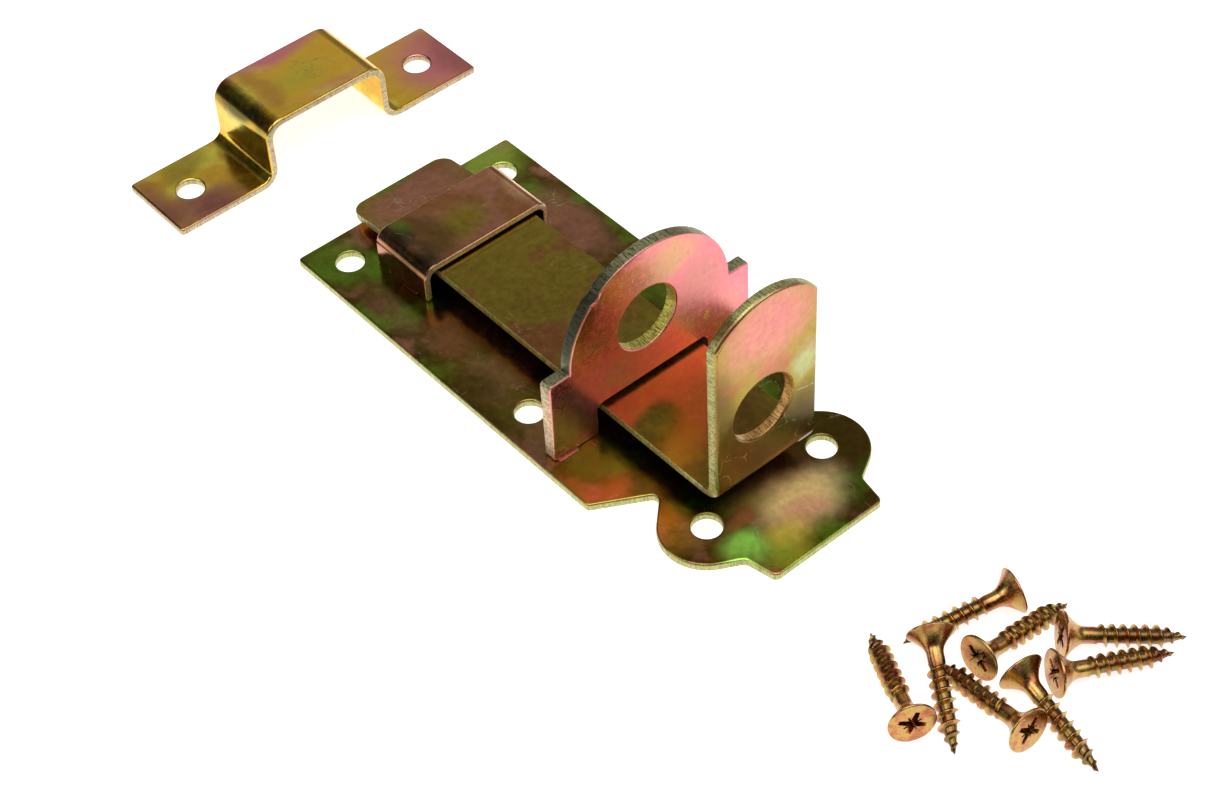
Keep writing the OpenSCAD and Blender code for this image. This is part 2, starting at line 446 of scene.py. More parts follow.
def make_plate():
    """The mounting plate: square at the rear, with two lobes and a clipped tip."""
    lobe_x, lobe_y = mount_holes("lobe_holes")[1]
    lobe_r = 8.5
    rear_notch = (lobe_x - 10.75, 14.3)
    front_notch = (lobe_x + 9.65, 13.4)
    half = [
        (PLATE_LOW.x, PLATE_HIGH.y, 0.8),
        (lobe_x - 17, PLATE_HIGH.y, 1.0),
        (*rear_notch, 1.2),
        crest(rear_notch, (lobe_x, lobe_y), lobe_r, 1),
        crest(front_notch, (lobe_x, lobe_y), lobe_r, -1),
        (*front_notch, 1.6),
        (PLATE_HIGH.x, 12.2, 1.3),
    ]
    edge = list(reversed(outline(both_sides(half), 10)))
    loops = [edge]
    loops += [round_hole(c, HOLE_R) for c in mount_holes("plate_holes") + mount_holes("lobe_holes")]
    tab_x = (BRIDGE_LOW.x + BRIDGE_HIGH.x - BRIDGE_TAB) / 2
    leg = BRIDGE_HIGH.y
    for side in (-1, 1):
        y0, y1 = sorted((side * (STAPLE_TAB[0] - 0.15), side * (STAPLE_TAB[1] + 0.15)))
        loops.append(box_hole(STAPLE_LOW.x - 0.1, y0, STAPLE_HIGH.x + 0.4, y1))
        y0, y1 = sorted((side * (leg - BRIDGE_T - 0.1), side * (leg + 0.1)))
        loops.append(box_hole(tab_x - 0.1, y0, tab_x + BRIDGE_TAB + 0.1, y1))
    place = flat_place((0, 0, 0), (1, 0, 0), (0, 1, 0), (0, 0, 1))
    return sheet("mounting_plate_skin", loops, rim_profile(PLATE_T, 0.4, burr=0.15), place, rough=0.015)


def make_bridge():
    """The bridge: a strip bent into a top and two legs, with a tab under each leg."""
    out = BRIDGE_HIGH.y
    top = BRIDGE_HIGH.z
    path = Path([(-out, 0), (-out, top, 2.8), (out, top, 2.8), (out, 0)])
    half = (BRIDGE_HIGH.x - BRIDGE_LOW.x) / 2
    tab = BRIDGE_TAB / 2
    end = path.length
    corners = [
        (0, -tab, 0), (PLATE_T, -tab, 0), (PLATE_T, -half, 0.6),
        (end - PLATE_T, -half, 0.6), (end - PLATE_T, -tab, 0), (end, -tab, 0),
        (end, tab, 0), (end - PLATE_T, tab, 0), (end - PLATE_T, half, 0.6),
        (PLATE_T, half, 0.6), (PLATE_T, tab, 0), (0, tab, 0),
    ]
    middle = (BRIDGE_LOW.x + BRIDGE_HIGH.x) / 2
    bend = bent_place(path, "yz", BRIDGE_T)

    def place(s, w, n):
        return bend(s, w, n) + Vector((middle, 0, 0))

    profile = rim_profile(BRIDGE_T, 0.45, burr=0.12, low=-BRIDGE_T)
    return sheet("guide_bridge_skin", [outline(corners)], profile, place,
                 stations=path.cuts(), rough=0.015)


def make_staple():
    """The staple: a dome on two shoulders, with a window for the bolt."""
    dome_r = 18.0
    arch_z = STAPLE_HIGH.z - dome_r
    shoulder_z = 19.3
    spring = math.asin((shoulder_z - arch_z) / dome_r)
    window_half = 12.6
    window_top = BOLT_Z + BOLT_T + 0.9
    half = [
        (window_half, window_top, 1.3), (window_half, PLATE_T, 0.5),
        (STAPLE_TAB[0], PLATE_T, 0), (STAPLE_TAB[0], 0, 0),
        (STAPLE_TAB[1], 0, 0.45), (STAPLE_TAB[1], PLATE_T, 0),
        (STAPLE_HIGH.y, PLATE_T, 0.5), (STAPLE_HIGH.y, shoulder_z, 0.7),
    ]
    dome = arc((0, arch_z), dome_r, spring, math.pi / 2, 30)
    half += [(p.x, p.y, 0) for p in dome]
    other = [(-y, z, r) for y, z, r in reversed(half[:-1])]
    nick_turn = math.radians(130)
    nick_r = 0.5
    for i, (y, z, r) in enumerate(other):
        angle = math.atan2(z - arch_z, y)
        if r == 0 and z > shoulder_z and abs(turn(angle, nick_turn)) < math.radians(2.2):
            inward = 1 - nick_r / dome_r
            other[i] = (y * inward, arch_z + (z - arch_z) * inward, 0)
    loops = [outline(half + other, 5), round_hole((LOCK_Y, LOCK_Z), LOCK_R, 96)]
    place = flat_place((STAPLE_LOW.x, 0, 0), (0, 1, 0), (0, 0, 1), (1, 0, 0))
    profile = rim_profile(STAPLE_T, 0.35, burr=0.12)
    return sheet("padlock_staple_skin", loops, profile, place, rough=0.09, step=0.5)


def make_bolt():
    """The bolt: dipped nose, straight run and a turned-up lug with an arched crown."""
    nose_x = BOLT_LOW.x
    bend_x = BRIDGE_HIGH.x - 0.5
    drop = (bend_x - nose_x) * math.tan(NOSE_DIP)
    face = BOLT_HIGH.x
    top = BOLT_HIGH.z
    path = Path([(nose_x, BOLT_Z - drop), (bend_x, BOLT_Z, 20), (face, BOLT_Z, BOLT_T + 1), (face, top)])
    half = BOLT_HIGH.y
    side_z = 40.4
    rise = top - side_z
    crown_r = (half * half + rise * rise) / (2 * rise)
    swing = math.asin(half / crown_r)
    to_z = path.length - top
    crown = arc((to_z + top - crown_r, 0), crown_r, -swing, swing, 24)
    edge = outline([(0, half, 3.0), (0, -half, 3.0)] + [(p.x, p.y, 0) for p in crown])
    loops = [edge, round_hole((to_z + LOCK_Z, LOCK_Y), LOCK_R, 96)]
    profile = [rim_profile(BOLT_T, roll, burr=0.1, roll_on_top=False, steps=7) for roll in (0.75, 0.5)]
    place = bent_place(path, "xz", BOLT_T, swell=0.3)
    return sheet("slide_bolt_skin", loops, profile, place, stations=path.cuts(), rough=0.04)


def make_keeper():
    """The keeper: an arch between two flat feet, for the nose of the thrown bolt."""
    middle_y = (KEEPER_LOW.y + KEEPER_HIGH.y) / 2
    end = (KEEPER_HIGH.y - KEEPER_LOW.y) / 2
    out = KEEPER_ARCH / 2
    t = KEEPER_T
    top = KEEPER_HIGH.z
    crown, foot = 4.0, 2.4
    path = Path([
        (-end, 0), (-out + t, 0, foot + t), (-out + t, top - t, crown - t),
        (out - t, top - t, crown - t), (out - t, 0, foot + t), (end, 0),
    ])
    half = (KEEPER_HIGH.x - KEEPER_LOW.x) / 2
    length = path.length
    edge = outline([(0, -half, 0.7), (length, -half, 0.7), (length, half, 0.7), (0, half, 0.7)])
    hole_y = MOUNT["keeper_holes"]["dims"]["spacing_y_mm"] / 2
    holes = [round_hole((end - hole_y, 0), HOLE_R), round_hole((length - end + hole_y, 0), HOLE_R)]
    bend = bent_place(path, "yz", t)
    middle_x = (KEEPER_LOW.x + KEEPER_HIGH.x) / 2

    def place(s, w, n):
        return bend(s, w, n) + Vector((middle_x, middle_y, 0))

    return sheet("keeper_skin", [edge] + holes, rim_profile(t, 0.45, burr=0.2), place,
                 stations=path.cuts(), rough=0.015)


# --------------------------------------------------------------------- screws

SCREW_LEN = 20.5
HEAD_R = 4.0
NECK_END = 5.3
CREST_R = 2.0
CORE_R = 1.25
SHANK_R = 1.4
PITCH = 1.8
AROUND = 40
# Lengths over which the core and the crests narrow to the point
CORE_TAPER = 4.6
CREST_TAPER = 4.4
# Lengths over which the shank turns into the core, and the thread starts and ends
SHANK_RUN = 0.9
THREAD_START = 1.3
THREAD_END = 0.7
# Half the width of a thread at its foot, as a share of a turn
THREAD_FOOT = 0.27
# Depth of the driver recess
RECESS_DEPTH = 2.1
# Closeness at which a CAD vertex counts as lying on a circle or a plane
NEAR = 0.02
# Where the corners of the CAD recess's arms lie, from the middle of the head's face
CAD_ARM = (2.1, 2.2)


def cross_outline():
    """The driver recess in the head's face: four wide arms and four small notches."""
    arm, root, notch = 2.45, 0.95, 1.65
    points = []
    for quarter in range(4):
        a = math.pi / 2 * quarter
        shape = [(arm, -0.16), (arm, 0.16), (root + 0.3, 0.42), (root, 0.58), (notch, 0.7),
                 (notch, math.pi / 2 - 0.7), (root, math.pi / 2 - 0.58), (root + 0.3, math.pi / 2 - 0.42)]
        points += [Vector((r * math.cos(a + t), r * math.sin(a + t))) for r, t in shape]
    return points


def unit(value):
    """The value, held between 0 and 1."""
    return min(1.0, max(0.0, value))


def thread_radius(z, phase):
    """Radius of the screw at a height, where phase runs 0 to 1 over one turn."""
    to_tip = SCREW_LEN - z
    past_neck = z - NECK_END
    core = CORE_R * min(1.0, (to_tip / CORE_TAPER) ** 0.8) if to_tip > 0 else 0.0
    if past_neck < SHANK_RUN:
        core = SHANK_R + (core - SHANK_R) * unit(past_neck / SHANK_RUN)
    crest_r = CREST_R * min(1.0, 0.12 + 0.88 * (to_tip / CREST_TAPER))
    rise = unit(past_neck / THREAD_START) * unit(to_tip / THREAD_END)
    flank = max(0.0, 1 - abs(phase - 0.5) / THREAD_FOOT) ** 1.5
    return core + max(0.0, crest_r - core) * rise * flank


def screw_mesh(name):
    """One countersunk screw that stands on its head's face and points up +Z."""
    bm = bmesh.new()
    phases = (0.0, 0.12, 0.23, 0.3, 0.36, 0.41, 0.45, 0.48, 0.52, 0.55, 0.59, 0.64, 0.7, 0.77, 0.88)
    turns = math.ceil((SCREW_LEN - NECK_END) / PITCH) + 2
    rows = turns * len(phases)
    grid = []
    for i in range(AROUND):
        a = 2 * math.pi * i / AROUND
        column = []
        for j in range(rows + 1):
            phase = phases[j % len(phases)]
            z = NECK_END + PITCH * (j // len(phases) + phase + i / AROUND - 1)
            z = min(SCREW_LEN, max(NECK_END, z))
            r = SHANK_R if z == NECK_END else thread_radius(z, phase)
            column.append(bm.verts.new((r * math.cos(a), r * math.sin(a), z)))
        grid.append(column)
    for i in range(AROUND):
        wrap = len(phases) if i == AROUND - 1 else 0
        right = grid[(i + 1) % AROUND]
        for j in range(rows):
            if j + 1 + wrap <= rows:
                bm.faces.new((grid[i][j], right[j + wrap], right[j + 1 + wrap], grid[i][j + 1]))
    head_rings(bm)
    bmesh.ops.remove_doubles(bm, verts=bm.verts[:], dist=1e-4)
    bmesh.ops.dissolve_degenerate(bm, edges=bm.edges[:], dist=1e-5)
    loose = [v for v in bm.verts if not v.link_faces]
    bmesh.ops.delete(bm, geom=loose, context="VERTS")
    bmesh.ops.recalc_face_normals(bm, faces=bm.faces[:])
    flat_layer = bm.verts.layers.float_vector.new("flat")
    for vert in bm.verts:
        vert[flat_layer] = vert.co
        vert.co = vert.co * MM
    for face in bm.faces:
        face.smooth = True
    mesh = bpy.data.meshes.new(name)
    bm.to_mesh(mesh)
    bm.free()
    mesh.set_sharp_from_angle(angle=SHARP_THREAD)
    return mesh


def head_rings(bm):
    """The neck, the flared head, its flat face and the recess in it."""
    profile = [
        (SHANK_R, NECK_END), (SHANK_R, 3.9), (1.46, 3.4), (1.66, 2.85), (2.05, 2.25),
        (2.6, 1.6), (3.25, 0.98), (3.8, 0.52), (3.98, 0.36), (HEAD_R, 0.25),
        (3.97, 0.12), (3.85, 0.02), (3.75, 0.0),
    ]
    rings = []
    for r, z in profile:
        rings.append([bm.verts.new((p.x, p.y, z)) for p in arc((0, 0), r, 0, 2 * math.pi, AROUND)[:-1]])
    join_rings(bm, rings)
    cross = cross_outline()
    steps = [(1.0, 0.0), (0.97, 0.1), (0.8, 1.0), (0.55, 1.75)]
    wells = [[bm.verts.new((p.x * k, p.y * k, z)) for p in cross] for k, z in steps]
    join_rings(bm, wells)
    floor_point = bm.verts.new((0, 0, RECESS_DEPTH))
    last = wells[-1]
    for i, vert in enumerate(last):
        bm.faces.new((vert, last[(i + 1) % len(last)], floor_point))
    edge = rings[-1]
    fill_face(bm, edge, wells[0])


def fill_face(bm, edge, cross):
    """Closes the head's face between its edge and the recess."""
    loops = [np.array([(v.co.x, v.co.y) for v in ring]) for ring in (edge, cross)]
    coords = [Vector(c) for c in np.concatenate(loops)]
    count = len(edge)
    links = [(i, (i + 1) % count) for i in range(count)]
    links += [(count + i, count + (i + 1) % len(cross)) for i in range(len(cross))]
    points, _, triangles, origins, _, _ = delaunay_2d_cdt(coords, links, [], 2, SAME_POINT)
    verts = edge + cross
    middles = np.array([sum((points[k] for k in tri), Vector((0, 0))) / 3 for tri in triangles])
    for tri, in_metal in zip(triangles, inside(middles, loops)):
        if in_metal:
            bm.faces.new([verts[origins[k][0]] for k in tri])


def screw_pose(node):
    """Where a CAD screw lies: the matrix from a screw that stands on its head's face."""
    points = sorted({tuple(round(c, 6) for c in v.co) for v in frame["nodes"][node].data.vertices})
    points = [Vector(p) / MM for p in points]
    middle = sum(points, Vector()) / len(points)
    axis = longest_axis(points, middle)
    ends = [max(points, key=lambda p: sign * (p - middle).dot(axis)) for sign in (1, -1)]
    tip = min(ends, key=lambda p: off_axis(p, middle, axis))
    reach = max((p - tip).length for p in points)
    rim = [p for p in points if (p - tip).length > reach - NEAR]
    head = sum(rim, Vector()) / len(rim)
    z = (tip - head).normalized()
    x = Vector((0, 0, 1)).cross(z).normalized()
    y = z.cross(x)
    spin = 0j
    for p in points:
        v = p - head
        if abs(v.dot(z)) < NEAR and CAD_ARM[0] < v.length < CAD_ARM[1]:
            a = math.atan2(v.dot(y), v.dot(x))
            spin += complex(math.cos(4 * a), math.sin(4 * a))
    roll = math.atan2(spin.imag, spin.real) / 4
    turned = (x * math.cos(roll) + y * math.sin(roll)).normalized()
    basis = Matrix((turned, z.cross(turned), z)).transposed().to_4x4()
    return Matrix.Translation(head * MM) @ basis


def longest_axis(points, middle):
    """Direction in which the points spread furthest, by repeated averaging."""
    axis = (max(points, key=lambda p: (p - middle).length) - middle).normalized()
    for _ in range(30):
        total = Vector()
        for p in points:
            v = p - middle
            total += v * v.dot(axis)
        axis = total.normalized()
    return axis


def off_axis(p, middle, axis):
    v = p - middle
    return (v - axis * v.dot(axis)).length


def make_screw(number):
    node = f"screw_{number}"
    obj = bpy.data.objects.new(f"screw_{number}_threaded", screw_mesh(f"screw_{number}_threaded"))
    bpy.context.scene.collection.objects.link(obj)
    obj.data.transform(screw_pose(node))
    return obj


# ------------------------------------------------------------------ materials


class Graph:
    """Short calls that add and link shader nodes."""

    def __init__(self, name):
        self.material = bpy.data.materials.new(name)
        self.material.use_nodes = True
        self.tree = self.material.node_tree
        self.tree.nodes.clear()

    def add(self, kind, sockets=None, **settings):
        node = self.tree.nodes.new("ShaderNode" + kind)
        for key, value in settings.items():
            setattr(node, key, value)
        for key, value in (sockets or {}).items():
            self.put(node.inputs[key], value)
        return node

    def put(self, socket, value):
        if isinstance(value, bpy.types.NodeSocket):
            self.tree.links.new(value, socket)
        elif isinstance(value, tuple) and len(value) == 3 and socket.type == "RGBA":
            socket.default_value = (*value, 1.0)
        else:
            socket.default_value = value

    def math(self, operation, a, b=0.0, c=1.0, clamp=False):
        node = self.add("Math", {0: a, 1: b, 2: c}, operation=operation, use_clamp=clamp)
        return node.outputs[0]

    def noise(self, vector, scale, detail=3.0, roughness=0.55, distortion=0.0):
        return self.add("TexNoise", {"Vector": vector, "Scale": scale, "Detail": detail,
                                     "Roughness": roughness, "Distortion": distortion})

    def range(self, value, a, b, c=0.0, d=1.0, smooth=True):
        kind = "SMOOTHSTEP" if smooth else "LINEAR"
        node = self.add("MapRange", {0: value, 1: a, 2: b, 3: c, 4: d}, interpolation_type=kind)
        return node.outputs[0]

    def mix(self, amount, a, b, blend="MIX"):
        node = self.add("Mix", data_type="RGBA", blend_type=blend)
        self.put(node.inputs[0], amount)
        self.put(node.inputs[6], a)
        self.put(node.inputs[7], b)
        return node.outputs[2]

    def ramp(self, value, stops, interpolation="EASE"):
        node = self.add("ValToRGB", {0: value})
        node.color_ramp.interpolation = interpolation
        elements = node.color_ramp.elements
        while len(elements) > 1:
            elements.remove(elements[-1])
        elements[0].position = stops[0][0]
        elements[0].color = (*stops[0][1], 1)
        for place, colour in stops[1:]:
            elements.new(place).color = (*colour, 1)
        return node.outputs[0]

    def moved(self, vector, step):
        return self.add("VectorMath", {0: vector, 1: step}, operation="ADD").outputs[0]

    def scaled(self, vector, scale):
        return self.add("VectorMath", {0: vector, 1: scale}, operation="MULTIPLY").outputs[0]

    def blob(self, vector, centre, radii):
        """1 at a spot of the part, fading to 0 at the radii; a radius of 0 has no limit."""
        node = self.add("Mapping", {"Vector": vector, "Location": centre,
                                    "Scale": tuple(r or 1e4 for r in radii)}, vector_type="TEXTURE")
        length = self.add("VectorMath", {0: node.outputs[0]}, operation="LENGTH").outputs["Value"]
        return self.range(length, 0.25, 1.0, 1.0, 0.0)


# Colours of the chromate film, some also used for painted shade, painted reflections and painted
# highlights
BLACK = (0.05, 0.05, 0.02)
UMBER = (0.15, 0.09, 0.012)
OLIVE = (0.38, 0.27, 0.035)
MOSS = (0.20, 0.33, 0.025)
GREEN = (0.40, 0.58, 0.06)
LIME = (0.42, 0.90, 0.14)
STRAW = (0.86, 0.72, 0.09)
GOLD = (0.84, 0.50, 0.05)
ORANGE = (0.86, 0.36, 0.09)
BROWN = (0.44, 0.18, 0.06)
MAUVE = (0.54, 0.23, 0.13)
PLUM = (0.62, 0.25, 0.20)
MAGENTA = (0.80, 0.25, 0.25)
SALMON = (0.80, 0.31, 0.25)
CORAL = (0.92, 0.24, 0.29)
TAN = (0.84, 0.46, 0.24)
SAND = (0.92, 0.66, 0.40)
SAGE = (0.46, 0.50, 0.22)
HONEY = (0.98, 0.74, 0.32)
# A near black used only for a painted dark reflection on the lug
DARK_REFLECTION = (0.07, 0.045, 0.006)
WINE = (0.36, 0.12, 0.10)
AMBER = (0.66, 0.36, 0.18)


def zinc(name, tones, patches, roughness=0.2, edge=(0.70, 0.68, 0.38), seed=0.0, scratches=0.35,
         marks=0.5, drift=3.0, edge_patches=(), haze=(), tear=0.5):
    """Chromated zinc on a pressed sheet.

    tones are its three usual colours. patches are (colour, centre, radii, strength),
    placed on the part itself, in millimetres: film colours, and on some parts painted
    shade, painted reflections and painted highlights. edge_patches tint its cut edges,
    whose colour is edge, the same way, and haze is (centre, radii, more roughness).
    seed moves the noise, drift is how far the patches wander, scratches and marks are
    the strength of the scratches and the pits, and tear is the brightness of the
    darkest torn lines.
    """
    g = Graph(name)
    flat = g.add("Attribute", attribute_name="flat").outputs["Vector"]
    spot = g.add("Attribute", attribute_name="spot").outputs["Vector"]
    cut = g.add("Attribute", attribute_name="cut").outputs["Fac"]
    offset = g.moved(spot, (seed, seed * 0.7, seed * 0.3))
    place = wandering(g, spot, offset, 0.11, drift)
    place = wandering(g, place, offset, 0.6, drift * 0.12)
    cloud = g.noise(offset, 0.075, 4.0, 0.55).outputs["Fac"]
    colour = g.ramp(cloud, list(zip((0.36, 0.5, 0.62), tones)))
    for tone, centre, radii, strength in patches:
        amount = g.math("MULTIPLY", g.blob(place, centre, radii), strength)
        colour = g.mix(amount, colour, tone)
    fine = g.noise(offset, 0.8, 3.0, 0.6).outputs["Fac"]
    mottle = g.range(fine, 0.25, 0.75, 0.86, 1.12, smooth=False)
    colour = g.mix(1.0, colour, grey(g, mottle), "MULTIPLY")
    pits = pitting(g, offset)
    lines = scratch_lines(g, offset)
    rim = g.range(cut, 0.05, 0.75)
    colour = g.mix(g.math("MULTIPLY", pits, 0.4 * marks), colour, (0.12, 0.10, 0.05))
    colour = g.mix(g.math("MULTIPLY", lines, scratches), colour, (0.66, 0.58, 0.42))
    for tone, centre, radii, strength in edge_patches:
        edge = g.mix(g.math("MULTIPLY", g.blob(spot, centre, radii), strength), edge, tone)
    torn, torn_bump = torn_edge(g, flat, edge, tear)
    colour = g.mix(rim, colour, torn)
    rough = g.range(fine, 0.3, 0.75, roughness - 0.02, roughness + 0.04)
    for centre, radii, more in haze:
        rough = g.math("ADD", rough, g.math("MULTIPLY", g.blob(place, centre, radii), more))
    rough = g.math("ADD", rough, g.math("MULTIPLY", pits, 0.12))
    rough = g.math("ADD", rough, g.math("MULTIPLY", rim, 0.2), clamp=True)
    grain = g.noise(offset, 5.0, 3.0, 0.6).outputs["Fac"]
    wave = g.noise(offset, 0.16, 2.0).outputs["Fac"]
    height = g.math("ADD", g.math("MULTIPLY", grain, 0.05), g.math("MULTIPLY", wave, 1.6))
    height = g.math("SUBTRACT", height, g.math("MULTIPLY", pits, 0.25 * marks))
    height = g.math("SUBTRACT", height, g.math("MULTIPLY", lines, 0.2))
    height = g.math("ADD", height, g.math("MULTIPLY", g.math("MULTIPLY", torn_bump, rim), 1.3))
    bump = g.add("Bump", {"Strength": 0.6, "Distance": 0.00006, "Height": height})
    bare = g.math("MULTIPLY_ADD", rim, -0.3)
    return metal(g, colour, rough, bump, bare)


def wandering(g, vector, seeded, scale, reach):
    """The vector pushed about by soft noise, so that patches get cloudy outlines."""
    push = g.noise(seeded, scale, 2.0).outputs["Color"]
    centred = g.add("VectorMath", {0: push, 1: (0.5, 0.5, 0.5)}, operation="SUBTRACT").outputs[0]
    size = (reach * 2, reach * 2, reach * 2)
    moved = g.add("VectorMath", {0: centred, 1: size, 2: vector}, operation="MULTIPLY_ADD")
    return moved.outputs[0]


def grey(g, value):
    return g.add("CombineColor", {0: value, 1: value, 2: value}).outputs[0]


def metal(g, colour, rough, bump, share=1.0):
    shader = g.add("BsdfPrincipled", {"Base Color": colour, "Metallic": share, "Roughness": rough,
                                      "Normal": bump.outputs[0]})
    g.add("OutputMaterial", {"Surface": shader.outputs[0]})
    return g.material


def pitting(g, vector):
    """Small handling marks, in clusters."""
    where = g.range(g.noise(vector, 0.13, 3.0).outputs["Fac"], 0.52, 0.72)
    specks = g.noise(vector, 2.6, 5.0, 0.7).outputs["Fac"]
    return g.math("MULTIPLY", g.range(specks, 0.58, 0.66), where)


def scratch_lines(g, vector):
    """Sparse, thin, curved scratches."""
    swirl = g.noise(vector, 0.07, 2.0).outputs["Color"]
    moved = g.add("VectorMath", {0: swirl, 1: (26.0, 26.0, 0.0), 2: vector}, operation="MULTIPLY_ADD")
    cells = g.add("TexVoronoi", {"Vector": moved.outputs[0], "Scale": 0.085}, feature="DISTANCE_TO_EDGE")
    line = g.range(cells.outputs["Distance"], 0.004, 0.011, 1.0, 0.0)
    where = g.range(g.noise(vector, 0.11, 3.0, 0.6).outputs["Fac"], 0.53, 0.62)
    broken = g.range(g.noise(vector, 1.6, 3.0).outputs["Fac"], 0.4, 0.55)
    return g.math("MULTIPLY", g.math("MULTIPLY", line, where), broken)


def torn_edge(g, flat, colour, tear):
    """Colour and height of a punched edge, with lines that run through the sheet."""
    stretched = g.scaled(flat, (4.5, 4.5, 0.5))
    lines = g.noise(stretched, 1.0, 3.0, 0.7).outputs["Fac"]
    specks = g.noise(flat, 3.0, 4.0, 0.7).outputs["Fac"]
    mark = g.math("ADD", g.math("MULTIPLY", lines, 0.6), g.math("MULTIPLY", specks, 0.4))
    level = g.range(mark, 0.40, 0.56, tear, 1.0)
    return g.mix(1.0, colour, grey(g, level), "MULTIPLY"), mark


def screw_zinc_and_painted_light(name, seed):
    """Coppery gold film on the screws, with painted shade between the threads and in the recess, and a
    painted highlight on the crests.
    """
    g = Graph(name)
    flat = g.add("Attribute", attribute_name="flat").outputs["Vector"]
    offset = g.moved(flat, (seed * 3.1, seed * 1.7, seed * 2.3))
    cloud = g.noise(offset, 0.3, 3.0, 0.55).outputs["Fac"]
    fine = g.noise(offset, 2.2, 3.0, 0.6).outputs["Fac"]
    value = g.math("ADD", g.math("MULTIPLY", cloud, 0.75), g.math("MULTIPLY", fine, 0.25))
    colour = g.ramp(value, [
        (0.30, (0.30, 0.10, 0.05)), (0.42, (0.46, 0.18, 0.07)), (0.49, (0.56, 0.31, 0.10)),
        (0.55, (0.48, 0.35, 0.09)), (0.61, (0.54, 0.20, 0.13)), (0.76, (0.38, 0.38, 0.14)),
    ])
    parts = g.add("SeparateXYZ", {0: flat})
    level = g.add("CombineXYZ", {0: parts.outputs[0], 1: parts.outputs[1]})
    radius = g.add("VectorMath", {0: level.outputs[0]}, operation="LENGTH").outputs["Value"]
    # painted shade at the thread roots, down to 0.45, and a painted highlight on the crests, up to 1.1
    root = g.range(radius, CORE_R - 0.05, CREST_R - 0.2, 0.45, 1.1)
    past_neck = g.range(parts.outputs[2], NECK_END - 0.6, NECK_END + 0.4)
    shade = g.math("ADD", g.math("MULTIPLY", past_neck, g.math("SUBTRACT", root, 1.0)), 1.0)
    # painted shade in the driver recess, up to 0.4 darker
    near_face = g.range(parts.outputs[2], 2.2, 0.0)
    deep = g.math("MULTIPLY", g.range(parts.outputs[2], 0.04, 0.5), g.range(radius, 2.6, 2.3))
    recess = g.math("MULTIPLY", deep, near_face)
    shade = g.math("MULTIPLY", shade, g.math("SUBTRACT", 1.0, g.math("MULTIPLY", recess, 0.4)))
    colour = g.mix(1.0, colour, grey(g, shade), "MULTIPLY")
    rough = g.range(fine, 0.3, 0.7, 0.2, 0.3)
    grain = g.noise(offset, 7.0, 3.0, 0.6).outputs["Fac"]
    bump = g.add("Bump", {"Strength": 0.4, "Distance": 0.00003, "Height": grain})
    return metal(g, colour, rough, bump)


# ---------------------------------------------------------------------- stage


# Just below the lowest piece
FLOOR_Z = -0.00003


def make_camera():
    """The photographer's view: from in front of the lug, to the left and above."""
    azimuth, elevation, roll = (math.radians(a) for a in (51.887, 46.319, -3.534))
    back = Vector((math.sin(azimuth) * math.cos(elevation),
                   -math.cos(azimuth) * math.cos(elevation), math.sin(elevation)))
    right = Vector((math.cos(azimuth), math.sin(azimuth), 0))
    up = back.cross(right)
    right, up = (right * math.cos(roll) + up * math.sin(roll),
                 up * math.cos(roll) - right * math.sin(roll))
    focal_px = 2511.1
    place = Vector((272.245, -193.956, 318.367)) * MM
    data = bpy.data.cameras.new("camera")
    data.sensor_fit = "HORIZONTAL"
    data.sensor_width = SENSOR_MM
    data.lens = focal_px / IMAGE_W * SENSOR_MM
    data.clip_start = 0.01
    data.clip_end = 20
    obj = bpy.data.objects.new("camera", data)
    basis = Matrix((right, up, back)).transposed().to_4x4()
    obj.matrix_world = Matrix.Translation(place) @ basis
    bpy.context.scene.collection.objects.link(obj)
    bpy.context.scene.camera = obj


def make_floor():
    mesh = bpy.data.meshes.new("floor")
    half = 4.0
    bm = bmesh.new()
    signs = ((-1, -1), (1, -1), (1, 1), (-1, 1))
    bm.faces.new([bm.verts.new((x * half, y * half, FLOOR_Z)) for x, y in signs])
    bm.to_mesh(mesh)
    bm.free()
    obj = bpy.data.objects.new("floor", mesh)
    bpy.context.scene.collection.objects.link(obj)
    g = Graph("floor_paper")
    diffuse = g.add("BsdfDiffuse", {"Color": (0.70, 0.70, 0.70)})
    glow = g.add("Emission", {"Color": (1.0, 1.0, 1.0), "Strength": 0.8})
    both = g.add("AddShader", {0: diffuse.outputs[0], 1: glow.outputs[0]})
    g.add("OutputMaterial", {"Surface": both.outputs[0]})
    mesh.materials.append(g.material)


def make_light(name, place, aim, size, watts):
    data = bpy.data.lights.new(name, "AREA")
    data.shape = "RECTANGLE"
    data.size, data.size_y = size
    data.energy = watts
    obj = bpy.data.objects.new(name, data)
    obj.location = place
    obj.rotation_euler = (Vector(aim) - Vector(place)).to_track_quat("-Z", "Y").to_euler()
    bpy.context.scene.collection.objects.link(obj)


def sky_ramp(tree, height, levels):
    """Brightness of the room against the height of the direction."""
    ramp = tree.nodes.new("ShaderNodeValToRGB")
    ramp.color_ramp.interpolation = "EASE"
    tree.links.new(height, ramp.inputs[0])
    elements = ramp.color_ramp.elements
    elements[0].position = levels[0][0]
    elements[0].color = (levels[0][1],) * 3 + (1,)
    elements[1].position = levels[-1][0]
    elements[1].color = (levels[-1][1],) * 3 + (1,)
    for place, level in levels[1:-1]:
        elements.new(place).color = (level, level, level, 1)
    return ramp.outputs[0]


